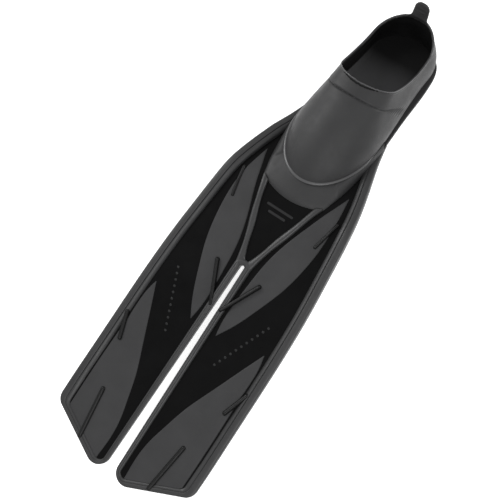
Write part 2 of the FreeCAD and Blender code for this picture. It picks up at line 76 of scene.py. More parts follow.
LOWER_LEAF_DIAGONAL = [(86.5, -78), (77, -100), (62.5, -135), (50, -165), (40, -190),
                       (30, -225), (23.5, -252), (21.5, -287)]
LOWER_LEAF_OUTER = [(92.6, -268), (92.5, -190), (91.5, -130), (89.5, -90), (86.5, -78)]
LOWER_LEAF_FOOT = (22.5, -302)
YOKE_OUTER = [(12, -8), (12, 0), (15, 15), (20.5, 35), (29.5, 60), (38.5, 90), (46.5, 112)]
FLANK_EDGE = [(46.5, 112), (53.5, 140), (58.5, 170), (61, 190), (61.5, 225)]
WINDOW_SIDE = [(36, 107), (25, 72), (17, 50), (11.5, 30), (4.5, 11)]
YOKE_TOP = 5.4
YOKE_BOTTOM = -4.6
# Each row: height above the sole, toe Y, ball half width and Y, heel half width and Y, back Y.
LAST_ROWS = [(5, 128, 55, 205, 45, 347, 389),
             (15, 125, 57, 205, 47, 347, 391),
             (27, 134, 55.5, 212, 47, 347, 391),
             (40, 153, 51, 225, 44.5, 347, 390),
             (53, 178, 45, 245, 40.5, 347, 388),
             (66, 211, 40, 270, 36.5, 347, 385.5),
             (78, 248, 35, 295, 33, 349, 383.5),
             (90, 288, 29, 320, 29, 352, 381.5)]
TOE_WALL = [5, 5.5, 6.5, 8, 10, 11.5, 13, 14]
SIDE_WALL = 4.0
SOLE_BOTTOM = -5.0
# The edge of the opening as pairs of Y and height above the sole.
RIM_CURVE = [(228, 100), (244, 86.5), (258, 77), (276, 65), (300, 54), (325, 48), (350, 50),
             (372, 58), (400, 71)]
LEAN = 7.0
LEAN_START = 165.0
LEAN_LENGTH = 221.0
TAB_HALF_WIDTH = 11.5
TAB_LENGTH = 22.5
TAB_TILT = math.radians(15.0)
TAB_PIVOT = (383.8, 69.7)
FRONT_SEAM = [(288, -5), (280, 20), (262, 45), (238, 70), (222, 110)]
WELT_HEIGHT = 19.5
WELT_END = 214
FOOTBED_TOP = 11.0
BEND_START = 88.0
BEND_END = 112.0
BEND_ANGLE = math.radians(17.0)
ROOT_FLEX = -4.5
SPLIT_Y = -90.0
SHOULDER_RIB = ((73.5, 108), (64, 66), 4.6, 1.2, 4.4)
INNER_RIB = ((34.5, -8.5), (6.5, -66), 6.0, 1.0, 7.9)
EDGE_RIB = ((97.5, -129), (84, -169), 6.2, 1.0, 5.6)
TIP_RIB = ((66.2, -228), (56.5, -302), 6.4, 1.0, 5.0)
STUD_START = (72.0, -48.0)
STUD_END = (39.5, -124.0)
STUD_COUNT = 11
STUD_PROFILE = [(1.75, PLATE_HALF - 0.3), (1.75, PLATE_HALF + 0.35),
                (1.45, PLATE_HALF + 0.62), (0.8, PLATE_HALF + 0.75)]
LEAF_BEVEL = 2.2
EDGE_STEPS = 120
SLOT_STEPS = 50
WINDOW_FRONT = [(0.0, 6.5), (2.2, 7.4)]
SLOT_HEAD_HALF_WIDTH = 12.2
SLOT_HEAD_RISE = 7.6
SLOT_HEAD_FOOT = -7.5
SLOT_HEAD_SECTION = [(0, -3.6), (0, 3.6), (0.1, 4.8), (0.3, 5.4), (0.6, 5.5), (0.88, 5.0),
                     (1, 3.8), (1, -3.6), (0.8, -4.6), (0.2, -4.6)]
RIM_THICKNESS = 2.4
RIM_BEAD_RADIUS = 0.75
FOOTBED_BASE = 8.0
FOOTBED_CENTRE = 255.0
TAB_FOOT = 8.5
TAB_ROUNDING = 8.5
TAB_FLARE = 8.5
HEEL_RADIUS = 37.0
WELD_DISTANCE = 0.00002
CAMERA_DISTANCE = 1.287
CAMERA_ELEVATION = math.radians(72.7)
CAMERA_AZIMUTH = math.radians(113.7)
CAMERA_ROLL = math.radians(-31.84)
CAMERA_AIM = (-0.009, 0.02734, -0.01186)
LIGHTS = (("key", (-1.7, 0.2, 1.5), 0.9, 24),
          ("top", (1.0, -1.0, 2.2), 1.4, 22),
          ("rim", (1.5, 1.4, 0.9), 0.8, 14))
SIDES = (("right", 1), ("left", -1))


def joint_place(name):
    joint = next(j for j in frame["joints"] if j["name"] == name)
    return Vector(joint["pos_m"])


ROOT_POINT = joint_place("right_blade_flex")
TIP_POINT = joint_place("right_tip_flex_joint")
PITCH = math.atan2(ROOT_POINT.z - TIP_POINT.z, ROOT_POINT.y - TIP_POINT.y)


def place(points):
    """Flat drawing points (mm, last axis x y z) to the row frame (m)."""
    flat = np.asarray(points, float)
    x, y, z = flat[..., 0], flat[..., 1], flat[..., 2] - SOLE_BOTTOM
    span = BEND_END - BEND_START
    radius = span / BEND_ANGLE
    turn = np.clip((y - BEND_START) / span, 0, 1) * BEND_ANGLE
    before = np.minimum(y, BEND_START)
    after = np.maximum(y - BEND_END, 0)
    bent_y = before + (radius + z) * np.sin(turn) + after * np.cos(turn)
    bent_z = (radius + z) * np.cos(turn) - radius - after * np.sin(turn) + SOLE_BOTTOM
    c, s = math.cos(PITCH), math.sin(PITCH)
    row_y = (bent_y - ROOT_FLEX) * c - bent_z * s
    row_z = (bent_y - ROOT_FLEX) * s + bent_z * c
    return np.stack([x * MM, row_y * MM + ROOT_POINT.y, row_z * MM + ROOT_POINT.z], -1)


# ---------------------------------------------------------------- curves
def cubic(knots, values, at):
    """Natural cubic spline through (knot, value) pairs, evaluated at the given places."""
    t = np.asarray(knots, float)
    v = np.asarray(values, float)
    n = len(t)
    h = np.diff(t)
    a = np.eye(n)
    b = np.zeros(n)
    for i in range(1, n - 1):
        a[i, i - 1:i + 2] = h[i - 1], 2 * (h[i - 1] + h[i]), h[i]
        b[i] = 6 * ((v[i + 1] - v[i]) / h[i] - (v[i] - v[i - 1]) / h[i - 1])
    m = np.linalg.solve(a, b)
    at = np.asarray(at, float)
    i = np.clip(np.searchsorted(t, at) - 1, 0, n - 2)
    d = at - t[i]
    slope = (v[i + 1] - v[i]) / h[i] - h[i] * (2 * m[i] + m[i + 1]) / 6
    return v[i] + slope * d + m[i] / 2 * d ** 2 + (m[i + 1] - m[i]) / (6 * h[i]) * d ** 3


def curve(points, count):
    """Evenly spaced points along a smooth curve through the given plan points."""
    p = np.asarray(points, float)
    knots = np.concatenate([[0], np.cumsum(np.hypot(*np.diff(p, axis=0).T))])
    at = np.linspace(0, knots[-1], count)
    return np.stack([cubic(knots, p[:, 0], at), cubic(knots, p[:, 1], at)], -1)


def x_at(points, y):
    """X of a curve that runs steadily along Y, at the given Y positions."""
    dense = curve(points, 400)
    if dense[0, 1] > dense[-1, 1]:
        dense = dense[::-1]
    return np.interp(y, dense[:, 1], dense[:, 0])


def finer_ends(stops, counts):
    """Positions from stop to stop, with the given number of points in each stretch."""
    runs = [np.linspace(a, b, n) for a, b, n in zip(stops, stops[1:], counts)]
    return np.concatenate([runs[0]] + [run[1:] for run in runs[1:]])


def ease(value):
    """Smooth step from 0 to 1."""
    v = np.clip(value, 0, 1)
    return v * v * (3 - 2 * v)


def arc_corner(before, corner, after, radius, count):
    """Points of the round corner of the given radius between two straight sides."""
    c = np.asarray(corner, float)
    u = np.asarray(before, float) - c
    w = np.asarray(after, float) - c
    u /= np.hypot(*u)
    w /= np.hypot(*w)
    half = math.acos(np.clip(u @ w, -1, 1)) / 2
    bisector = (u + w) / np.hypot(*(u + w))
    middle = c + bisector * radius / math.sin(half)
    start = c + u * radius / math.tan(half) - middle
    end = c + w * radius / math.tan(half) - middle
    a0 = math.atan2(start[1], start[0])
    a1 = math.atan2(end[1], end[0])
    turn = (a1 - a0 + math.pi) % (2 * math.pi) - math.pi
    angles = a0 + turn * np.linspace(0, 1, count)
    return middle + radius * np.stack([np.cos(angles), np.sin(angles)], -1)


def tip_line_y(x, inset):
    """Y of the slanted tip edge, or of a line the inset distance inside it."""
    slope = (TIP_OUTER[1] - TIP_INNER[1]) / (TIP_OUTER[0] - TIP_INNER[0])
    return TIP_INNER[1] + slope * (x - TIP_INNER[0]) + inset * math.hypot(1, slope)


# ---------------------------------------------------------------- meshes
def make_piece(name, verts, faces, material, sharp_degrees=38):
    """Closed mesh object in the row frame, smooth except at sharp edges."""
    mesh = bpy.data.meshes.new(name)
    mesh.from_pydata([tuple(v) for v in verts], [], faces)
    bm = bmesh.new()
    bm.from_mesh(mesh)
    bmesh.ops.remove_doubles(bm, verts=bm.verts, dist=WELD_DISTANCE)
    bmesh.ops.dissolve_degenerate(bm, dist=WELD_DISTANCE / 2, edges=bm.edges)
    bmesh.ops.recalc_face_normals(bm, faces=bm.faces)
    limit = math.radians(sharp_degrees)
    for face in bm.faces:
        face.smooth = True
    for edge in bm.edges:
        edge.smooth = len(edge.link_faces) == 2 and edge.calc_face_angle(0.0) < limit
    bm.to_mesh(mesh)
    bm.free()
    piece = bpy.data.objects.new(name, mesh)
    bpy.context.scene.collection.objects.link(piece)
    mesh.materials.append(material)
    return piece


def loop_faces(rows, columns, close_ends=True):
    """Quads of a tube whose rows are closed loops."""
    faces = []
    for r in range(rows - 1):
        for c in range(columns):
            d = (c + 1) % columns
            near, far = r * columns, (r + 1) * columns
            faces.append((near + c, near + d, far + d, far + c))
    if close_ends:
        faces.append(tuple(range(columns)))
        faces.append(tuple((rows - 1) * columns + c for c in range(columns)))
    return faces


def tube(name, loops, side, material, sharp_degrees=38):
    """Closed piece from closed cross-section loops drawn flat, mirrored for the left side."""
    pts = np.array(loops, float)
    pts[..., 0] *= side
    faces = loop_faces(*pts.shape[:2])
    return make_piece(name, place(pts).reshape(-1, 3), faces, material, sharp_degrees)


def ribbon_loops(outer, inner, section):
    """Cross-section loops between two plan curves; section(i, y) lists (share across, z)."""
    loops = []
    for i, (o, n) in enumerate(zip(outer, inner)):
        loop = []
        for share, z in section(i, o[1]):
            p = o + (n - o) * share
            loop.append((p[0], p[1], z))
        loops.append(loop)
    return loops


def bend_between(piece):
    """Bake a finished piece's placement into its mesh; it gets no bend."""
    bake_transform(piece)


def over_root(piece):
    """Bake a piece at the head of the slot into its mesh; it gets no bend."""
    bend_between(piece)


def over_tip(piece):
    """Bake a piece between half blade and blade tip into its mesh; it gets no bend."""
    bend_between(piece)


# ---------------------------------------------------------------- materials
def new_material(name):
    mat = bpy.data.materials.new(name)
    mat.use_nodes = True
    nodes = mat.node_tree.nodes
    shader = nodes["Principled BSDF"]
    return mat, nodes, mat.node_tree.links, shader


def noise(nodes, links, coords, scale, detail):
    node = nodes.new("ShaderNodeTexNoise")
    node.inputs["Scale"].default_value = scale
    node.inputs["Detail"].default_value = detail
    node.inputs["Roughness"].default_value = 0.6
    links.new(coords, node.inputs["Vector"])
    return node.outputs["Fac"]


def ramp(nodes, links, source, low, high, low_at=0.3, high_at=0.7):
    node = nodes.new("ShaderNodeValToRGB")
    node.color_ramp.elements[0].position = low_at
    node.color_ramp.elements[1].position = high_at
    node.color_ramp.elements[0].color = (*low, 1)
    node.color_ramp.elements[1].color = (*high, 1)
    links.new(source, node.inputs["Fac"])
    return node.outputs["Color"]


def moulded(name, dark, light, rough, spread, grain, depth, shine):
    """Moulded rubber or plastic: cloudy colour, fine grain bump and uneven gloss."""
    mat, nodes, links, shader = new_material(name)
    coords = nodes.new("ShaderNodeTexCoord").outputs["Object"]
    cloud = noise(nodes, links, coords, 18.0, 5.0)
    links.new(ramp(nodes, links, cloud, dark, light), shader.inputs["Base Color"])
    patch = noise(nodes, links, coords, 60.0, 3.0)
    gloss = ramp(nodes, links, patch, (rough - spread,) * 3, (rough + spread,) * 3)
    links.new(gloss, shader.inputs["Roughness"])
    fine = noise(nodes, links, coords, grain, 2.0)
    coarse = noise(nodes, links, coords, grain / 9, 3.0)
    first = nodes.new("ShaderNodeBump")
    first.inputs["Strength"].default_value = depth
    first.inputs["Distance"].default_value = 0.00025
    links.new(fine, first.inputs["Height"])
    second = nodes.new("ShaderNodeBump")
    second.inputs["Strength"].default_value = depth * 0.5
    second.inputs["Distance"].default_value = 0.0006
    links.new(coarse, second.inputs["Height"])
    links.new(first.outputs["Normal"], second.inputs["Normal"])
    links.new(second.outputs["Normal"], shader.inputs["Normal"])
    shader.inputs["Specular IOR Level"].default_value = shine
    return mat


def paint_footbed_light_and_shade(mat, front, back, front_y, back_y):
    """Footbed colour with a painted pool of light at the instep and painted shade that deepens
    towards the heel.
    """
    nodes, links = mat.node_tree.nodes, mat.node_tree.links
    coords = nodes.new("ShaderNodeTexCoord").outputs["Object"]
    split = nodes.new("ShaderNodeSeparateXYZ")
    links.new(coords, split.inputs["Vector"])
    spread = nodes.new("ShaderNodeMapRange")
    spread.inputs["From Min"].default_value = front_y
    spread.inputs["From Max"].default_value = back_y
    links.new(split.outputs["Y"], spread.inputs["Value"])
    painted_light_tint = ramp(nodes, links, spread.outputs["Result"], front, back, 0.0, 1.0)
    links.new(painted_light_tint, nodes["Principled BSDF"].inputs["Base Color"])


def grey(value):
    return (value, value, value * 1.03)


POCKET = moulded("pocket_rubber", grey(0.017), grey(0.024), 0.50, 0.06, 2600, 0.35, 0.30)
RAIL = moulded("rail_rubber", grey(0.018), grey(0.024), 0.42, 0.06, 2200, 0.25, 0.42)
# lighter, glossier rubber for the welt and the rim bead: a painted highlight on these thin
# ridges
HIGHLIGHT_EDGE_RUBBER = moulded("edge_rubber_painted_highlight", grey(0.040), grey(0.055), 0.34, 0.05, 2200, 0.20, 0.55)
MEMBRANE = moulded("membrane_rubber", grey(0.026), grey(0.034), 0.55, 0.05, 3000, 0.30, 0.22)
RIB = moulded("rib_rubber", grey(0.003), grey(0.005), 0.40, 0.05, 2200, 0.20, 0.22)
PLATE = moulded("blade_plate", grey(0.0020), grey(0.0032), 0.30, 0.05, 1500, 0.08, 0.07)
MARK = moulded("plain_marks", grey(0.010), grey(0.014), 0.45, 0.05, 2500, 0.15, 0.2)
SOLE = moulded("sole_rubber", grey(0.014), grey(0.020), 0.60, 0.08, 1800, 0.45, 0.3)
INSIDE = moulded("footbed_rubber", grey(0.006), grey(0.009), 0.70, 0.06, 1200, 0.60, 0.15)
# darker rubber on the pocket's inside walls, as painted shade
INSIDE_WALL_SHADE = moulded("pocket_inside_painted_shade", grey(0.003), grey(0.006), 0.60, 0.06, 2600, 0.30, 0.15)
# footbed colour: painted light at the front of the opening, painted shade deepening towards the
# heel
paint_footbed_light_and_shade(INSIDE, grey(0.075), grey(0.003), 0.235, 0.300)
SHANK = moulded("shank_plastic", grey(0.01), grey(0.015), 0.45, 0.06, 1500, 0.2, 0.3)


# ---------------------------------------------------------------- rails and tip border
def rail_heights(y):
    """Top and bottom of the rails at a Y position."""
    top = np.interp(y, [p[0] for p in RAIL_TOP], [p[1] for p in RAIL_TOP])
    bottom = np.interp(y, [p[0] for p in RAIL_BOTTOM], [p[1] for p in RAIL_BOTTOM])
    return top, bottom


def rail_section(y, groove, crown):
    """Section of the outer rail: flat crown, groove, then a slope down to the plate."""
    top, bottom = rail_heights(y)
    shelf = 1.0
    return [(0.00, bottom + 1.3), (0.00, top - 2.3 * crown), (0.025, top - 1.2 * crown),
            (0.08, top - 0.35 * crown), (0.16, top), (0.50, top - 0.15), (0.555, top - 0.4),
            (0.58, top - 0.4 - groove), (0.62, top - 0.4 - groove), (0.645, top - 0.55),
            (0.70, top - 0.6), (0.80, max(top - 1.3 * crown, shelf)),
            (0.93, max(top - 2.7 * crown, shelf)),
            (0.985, max(top - 3.9 * crown, shelf)), (1.0, shelf), (1.0, bottom + 1.3),
            (0.94, bottom + 0.3), (0.86, bottom), (0.14, bottom), (0.05, bottom + 0.35)]


def slot_x(y):
    """X of the slot's edge."""
    share = (0 - y) / (0 - TIP_INNER[1])
    return SLOT_HALF + (TIP_INNER[0] - SLOT_HALF) * np.clip(share, 0, 1)


def pocket_half_width(y):
    """Half width of the pocket just above the sole, for tucking the rails under it."""
    _, toe_y, ball, ball_y, heel, heel_y, back_y = LAST_ROWS[1]
    share = np.clip((ball_y - y) / (ball_y - toe_y), 0, 1)
    return ball * np.sqrt(1 - share ** 2)


def frame_paths():
    """Outer and inner plan curves of the frame, from the pocket round the tip to the slot."""
    start_x = OUTER_EDGE[0][0] - RAIL_WIDTH
    foot = (start_x, tip_line_y(start_x, TIP_BORDER))
    inner_foot = (INNER_RAIL_EDGE_TIP, tip_line_y(INNER_RAIL_EDGE_TIP, TIP_BORDER))
    corner_o = arc_corner((TIP_OUTER[0], 0), TIP_OUTER, TIP_INNER, OUTER_CORNER_R, 18)
    corner_i = arc_corner((foot[0], 0), foot, inner_foot, FIELD_CORNER_R, 18)
    inner_o = arc_corner(TIP_OUTER, TIP_INNER, (SLOT_HALF, 0), INNER_CORNER_R, 20)
    inner_i = arc_corner(foot, inner_foot, (INNER_RAIL_EDGE, 0), FIELD_CORNER_R, 20)
    steps = finer_ends((236, SPLIT_Y, corner_o[0, 1]), (EDGE_STEPS, 60))
    outer_x = x_at(OUTER_EDGE, steps)
    edge = np.stack([outer_x, steps], -1)
    inner_x = outer_x - RAIL_WIDTH
    inner_x = np.where(steps > 150, np.maximum(inner_x, pocket_half_width(steps) - 2.0), inner_x)
    shorter = (corner_i[0, 1] - SPLIT_Y) / (corner_o[0, 1] - SPLIT_Y)
    inner_y = np.where(steps < SPLIT_Y, SPLIT_Y + (steps - SPLIT_Y) * shorter, steps)
    field = np.stack([inner_x, inner_y], -1)
    share = np.linspace(0, 1, 28)[1:-1, None]
    tip_o = corner_o[-1] + (inner_o[0] - corner_o[-1]) * share
    tip_i = corner_i[-1] + (inner_i[0] - corner_i[-1]) * share
    back_o = finer_ends((inner_o[-1, 1], SPLIT_Y, -1.0), (70, SLOT_STEPS))[1:]
    back_i = finer_ends((inner_i[-1, 1], SPLIT_Y, -1.0), (70, SLOT_STEPS))[1:]
    run = (back_i - inner_foot[1]) / (0 - inner_foot[1])
    rail_x = INNER_RAIL_EDGE_TIP + (INNER_RAIL_EDGE - INNER_RAIL_EDGE_TIP) * run
    rail_i = np.stack([rail_x, back_i], -1)
    rail_o = np.stack([slot_x(back_o), back_o], -1)
    outer = np.concatenate([edge, corner_o[1:-1], tip_o, inner_o, rail_o])
    inner = np.concatenate([field, corner_i[1:-1], tip_i, inner_i, rail_i])
    return outer, inner, len(edge)


def build_frames():
    """Three pieces per side: outer rail by the pocket, blade tip with border, inner rail."""
    outer, inner, edge_count = frame_paths()
    split = EDGE_STEPS - 1
    back_split = len(outer) - SLOT_STEPS
    root_nodes = ("_outer_rail_root", "_root_flex")
    tip_nodes = ("_tip_frame", "_outer_rail_mid", "_tip_flex")
    back_nodes = ("_inner_rail_mid",)

    def rail(name, first, last, side_name, sign, nodes):
        def section(i, y):
            fade = ease((i + first - edge_count + 25) / 30)
            return rail_section(y, 1.3 * (1 - 0.6 * fade), 1.0 - 0.45 * fade)

        loops = ribbon_loops(outer[first:last], inner[first:last], section)
        piece = tube(side_name + name, loops, sign, RAIL)
        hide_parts(*[side_name + node for node in nodes])
        return piece

    for side_name, sign in SIDES:
        root = rail("_rail_skin", 0, split + 1, side_name, sign, root_nodes)
        over_root(root)
        tip = rail("_tip_frame_skin", split, back_split, side_name, sign, tip_nodes)
        over_tip(tip)
        back = rail("_inner_rail_skin", back_split - 1, len(outer), side_name, sign, back_nodes)
        over_root(back)


# ---------------------------------------------------------------- plate and membranes
def plate_loops(ys, inner_x, outer_x):
    """Flat sheet between two X positions per Y."""
    shares = np.linspace(0, 1, 21)
    loops = []
    for y, a, b in zip(ys, inner_x, outer_x):
        line = a + (b - a) * shares
        top = [(x, y, PLATE_HALF) for x in line]
        low = [(x, y, -PLATE_HALF) for x in line[::-1]]
        loops.append(top + low)
    return loops


def field_sides(ys):
    """X of both sides of the area inside the frame at the given Y positions."""
    _, inner, _ = frame_paths()
    low = int(np.argmin(inner[:, 1]))
    right = inner[:low + 1][::-1]
    left = inner[low:]
    return np.interp(ys, left[:, 1], left[:, 0]), np.interp(ys, right[:, 1], right[:, 0])


def build_plates():
    """Two thin plates on each half blade: slot to pocket, and tip."""
    for side_name, sign in SIDES:
        ys = np.linspace(183, SPLIT_Y, 100)
        throat = x_at(YOKE_OUTER[1:] + FLANK_EDGE[1:], np.maximum(ys, 0))
        inner_x = np.where(ys > 0, throat - 3.0, INNER_RAIL_EDGE - 4)
        outer_x = np.maximum(x_at(OUTER_EDGE, ys) - RAIL_WIDTH + 3, inner_x + 0.5)
        loops = plate_loops(ys, inner_x, outer_x)
        piece = tube(side_name + "_plate_skin", loops, sign, PLATE)
        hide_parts(side_name + "_plate_root")
        over_root(piece)
        ys = np.linspace(SPLIT_Y, -309.5, 90)
        left, right = field_sides(ys)
        inner_x = left - 1.5
        outer_x = np.maximum(right + 2.5, inner_x + 0.5)
        loops = plate_loops(ys, inner_x, outer_x)
        piece = tube(side_name + "_tip_plate_skin", loops, sign, PLATE)
        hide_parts(side_name + "_plate_mid", side_name + "_plate_tip")
        over_tip(piece)


def leaf_loops(ys, left, right):
    """Flat pad with rounded edges between two X positions per Y."""
    marks = np.array([0, 0.12, 0.3, 0.55, 0.8, 1.0])
    loops = []
    for y, a, b in zip(ys, left, right):
        width = max(b - a, 0.02)
        edge = min(LEAF_BEVEL, width * 0.45)
        near = marks * edge
        middle = np.linspace(edge, width - edge, 12)[1:-1]
        across = np.concatenate([near, middle, width - near[::-1]])
        depth = np.minimum(across, width - across) / edge
        swell = np.sqrt(np.clip(1 - (1 - np.clip(depth, 0, 1)) ** 2, 0, 1))
        rise = min(1.0, width / (2 * LEAF_BEVEL))
        height = PLATE_HALF * 0.8 + (MEMBRANE_HALF - PLATE_HALF * 0.8) * swell * rise
        top = [(a + s, y, z) for s, z in zip(across, height)]
        low = [(x, yy, -z) for x, yy, z in reversed(top)]
        loops.append(top + low)
    return loops


def build_membranes():
    """Two rubber membranes on each half blade."""
    for side_name, sign in SIDES:
        ys = finer_ends((145, 130, -85, -94), (16, 120, 14))
        left = x_at(UPPER_LEAF_INNER, ys)
        right = x_at(UPPER_LEAF_OUTER, ys)
        loops = leaf_loops(ys, left, right)
        name = side_name + "_upper_membrane_skin"
        piece = tube(name, loops, sign, MEMBRANE)
        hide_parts(side_name + "_upper_membrane_root", side_name + "_upper_membrane_mid")
        over_root(piece)
        ys = finer_ends((-78, -90, -307), (14, 140))
        left = x_at(LOWER_LEAF_DIAGONAL + [LOWER_LEAF_FOOT], np.maximum(ys, -302))
        _, field_right = field_sides(ys + 1.2)
        right = np.minimum(x_at(LOWER_LEAF_OUTER, np.maximum(ys, -268)), field_right - 0.6)
        right = np.maximum(right, left + 0.05)
        loops = leaf_loops(ys, left, right)
        name = side_name + "_lower_membrane_skin"
        piece = tube(name, loops, sign, MEMBRANE)
        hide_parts(side_name + "_lower_membrane_mid", side_name + "_lower_membrane_tip")
        over_tip(piece)


# ---------------------------------------------------------------- ribs and studs
def rib_loops(start, end, width, base, crest):
    """Rounded rib: soft ends, half-round top, flat foot."""
    a = np.array(start, float)
    run = np.array(end, float) - a
    length = np.hypot(*run)
    along = run / length
    aside = np.array([-along[1], along[0]])
    loops = []
    for s in finer_ends((0, 0.12, 0.88, 1), (8, 22, 8)):
        reach = min(s, 1 - s) * length / (width * 0.55)
        swell = math.sqrt(max(1 - (1 - min(reach, 1)) ** 2, 0.0004))
        half = width / 2 * swell
        centre = a + run * s
        loop = []
        for angle in np.linspace(0, math.pi, 11):
            p = centre + aside * half * math.cos(angle)
            loop.append((p[0], p[1], base + (crest - base) * swell * math.sin(angle) ** 0.8))
        for share in (-0.6, 0.0, 0.6):
            p = centre + aside * half * share
            loop.append((p[0], p[1], base - 0.4))
        loops.append(loop)
    return loops


def build_ribs():
    """Four ribs and the row of studs on each half blade."""
    for side_name, sign in SIDES:
        def rib(name, sizes):
            loops = rib_loops(*sizes)
            piece = tube(side_name + name + "_skin", loops, sign, RIB)
            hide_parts(side_name + name)
            return piece

        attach(rib("_shoulder_rib", SHOULDER_RIB), "foot_pocket")
        over_root(rib("_inner_rib", INNER_RIB))
        over_tip(rib("_edge_rib", EDGE_RIB))
        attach(rib("_tip_rib", TIP_RIB), side_name + "_tip")
        studs = stud_row(side_name, sign)
        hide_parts(side_name + "_band_studs")
        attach(studs, side_name + "_blade")


def stud_row(side_name, sign):
    """Plain domed studs in a row on the diagonal band."""
    verts = []
    faces = []
    start = np.array(STUD_START)
    run = np.array(STUD_END) - start
    ring = 16
    for k in range(STUD_COUNT):
        spot = start + run * k / (STUD_COUNT - 1)
        base = len(verts)
        for radius, z in STUD_PROFILE:
            for a in np.linspace(0, 2 * math.pi, ring, endpoint=False):
                x = spot[0] + radius * math.cos(a)
                verts.append((sign * x, spot[1] + radius * math.sin(a), z))
        faces += [tuple(base + i for i in f) for f in loop_faces(len(STUD_PROFILE), ring)]
    return make_piece(side_name + "_stud_row", place(verts), faces, MARK)


# ---------------------------------------------------------------- throat
def build_throat():
    """Rails beside the window, the head of the slot and the slope up to the pocket."""
    side_outer = curve(YOKE_OUTER[1:], 60)
    window = np.array(WINDOW_FRONT + list(curve(WINDOW_SIDE, 60)[::-1]))
    knots = np.linspace(0, 1, len(window))
    shares = np.linspace(0, 1, 60)
    inner = np.stack([np.interp(shares, knots, window[:, k]) for k in (0, 1)], -1)

    def section(i, y):
        low, high = YOKE_BOTTOM, YOKE_TOP
        return [(0, low + 1), (0, high - 2.0), (0.06, high - 0.9), (0.2, high - 0.15),
                (0.42, high), (0.7, high - 0.25), (0.9, high - 1.1), (1.0, high - 2.4),
                (1.0, low + 1), (0.85, low), (0.15, low)]

    loops = ribbon_loops(side_outer, inner, section)
    for side_name, sign in SIDES:
        piece = tube(side_name + "_yoke_arm", loops, sign, RAIL)
        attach(piece, "foot_pocket")
        if sign > 0:
            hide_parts("throat_yoke")
    build_slot_head()
    build_fairing()


def build_slot_head():
    """Rubber between window and slot, with the slot's round head cut into it."""
    def arch(half_width, foot_x, rise, base):
        angles = np.linspace(0, math.pi, 31)
        top = np.stack([half_width * np.cos(angles), base + rise * np.sin(angles)], -1)
        return np.concatenate([[(foot_x, SLOT_HEAD_FOOT)], top, [(-foot_x, SLOT_HEAD_FOOT)]])

    head = arch(SLOT_HALF, SLOT_HALF, SLOT_HALF, -SLOT_HALF)
    outer = arch(SLOT_HEAD_HALF_WIDTH, 12, SLOT_HEAD_RISE, 0.0)
    loops = []
    for o, n in zip(outer, head):
        loops.append([(*(o + (n - o) * share), z) for share, z in SLOT_HEAD_SECTION])
    piece = tube("slot_head", loops, 1, RAIL)
    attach(piece, "foot_pocket")


def build_fairing():
    """Slope from the window up to the welt, with a skirt along both sides of the pocket."""
    right = list(curve(FLANK_EDGE, 50)[::-1]) + [(41.5, 109.0)]
    top_edge = [(x, 100 + 7.0 * (x / 36) ** 2) for x in np.linspace(36, -36, 41)]
    left = [(-x, y) for x, y in reversed(right)]
    outer = np.array(right + top_edge + left, float)
    share = np.linspace(-1, 1, len(outer))
    level = WELT_HEIGHT - 1.5
    inner = []
    for s in share:
        x, y = last_point(0.5 * abs(s), level, 1.5, 2.0)
        inner.append((x * (-1 if s > 0 else 1), y))
    inner = leaned(inner)
    top = level + SOLE_BOTTOM

    def section(i, y):
        spread = abs(share[i])
        low_edge = 2.6 + 3.0 * ease((spread - 0.28) / 0.2)
        front = 1 - ease((spread - 0.3) / 0.3)
        bow = 0.6 + 1.2 * (1 - front)
        fade = ease((1 - spread) / 0.16)
        rise = (top - low_edge) * (0.35 + 0.65 * fade)
        points = [(0, SOLE_BOTTOM + 0.4), (0, low_edge - 1.4), (0.04, low_edge - 0.4)]
        for s in (0.12, 0.25, 0.4, 0.55, 0.7, 0.85, 1.0):
            shape = s if front > 0.5 else math.sin(s * math.pi / 2)
            climb = shape * (1 - 0.25 * front) + 0.25 * front * s * s
            points.append((s, low_edge + rise * climb + bow * math.sin(s * math.pi)))
        return points + [(1.0, SOLE_BOTTOM + 0.4)]

    loops = ribbon_loops(outer, inner, section)
    piece = tube("throat_fairing_skin", loops, 1, POCKET)
    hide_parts("throat_fairing")
    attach(piece, "foot_pocket")


# ---------------------------------------------------------------- foot pocket
def lean(y):
    """Sideways shift of the pocket, which curves a little towards one side."""
    return LEAN * np.maximum(0, (np.asarray(y, float) - LEAN_START) / LEAN_LENGTH) ** 1.5


def leaned(points):
    """Points (mm) shifted sideways with the pocket's curve."""
    moved = np.array(points, float)
    moved[..., 0] += lean(moved[..., 1])
    return moved


LAST = np.array(LAST_ROWS, float)


def last_params(height):
    """Sizes of the pocket's outline at a height above the sole (see LAST_ROWS)."""
    return [float(cubic(LAST[:, 0], LAST[:, k], height)) for k in range(1, 7)]


def last_point(u, height, side_inset=0.0, toe_inset=0.0):
    """Point of the pocket's outline: u runs from the toe (0) to the heel (1) on one side."""
    toe_y, ball, ball_y, heel, heel_y, back_y = last_params(height)
    toe_y += toe_inset
    ball -= side_inset
    heel -= side_inset
    back_y -= side_inset
    front, rear = 0.46, 0.64
    if u < front:
        t = u / front * math.pi / 2
        return ball * math.sin(t), ball_y - (ball_y - toe_y) * math.cos(t)
    if u < rear:
        s = (u - front) / (rear - front)
        return ball + (heel - ball) * ease(s), ball_y + (heel_y - ball_y) * s
    t = (1 - u) / (1 - rear) * math.pi / 2
    return heel * math.sin(t), heel_y + (back_y - heel_y) * math.cos(t)


RIM_Y = np.linspace(RIM_CURVE[0][0], RIM_CURVE[-1][0], 300)
RIM_H = cubic([p[0] for p in RIM_CURVE], [p[1] for p in RIM_CURVE], RIM_Y)


def rim_height(u, side_inset, toe_wall):
    """Height at which one line of the wall meets the opening's edge."""
    heights = np.linspace(30, 92, 250)
    for h in heights:
        toe = float(np.interp(h, LAST[:, 0], TOE_WALL)) if toe_wall else 0.0
        _, y = last_point(u, h, side_inset, toe)
        if y >= RIM_CURVE[0][0] and h >= np.interp(y, RIM_Y, RIM_H):
            return h
    return heights[-1]


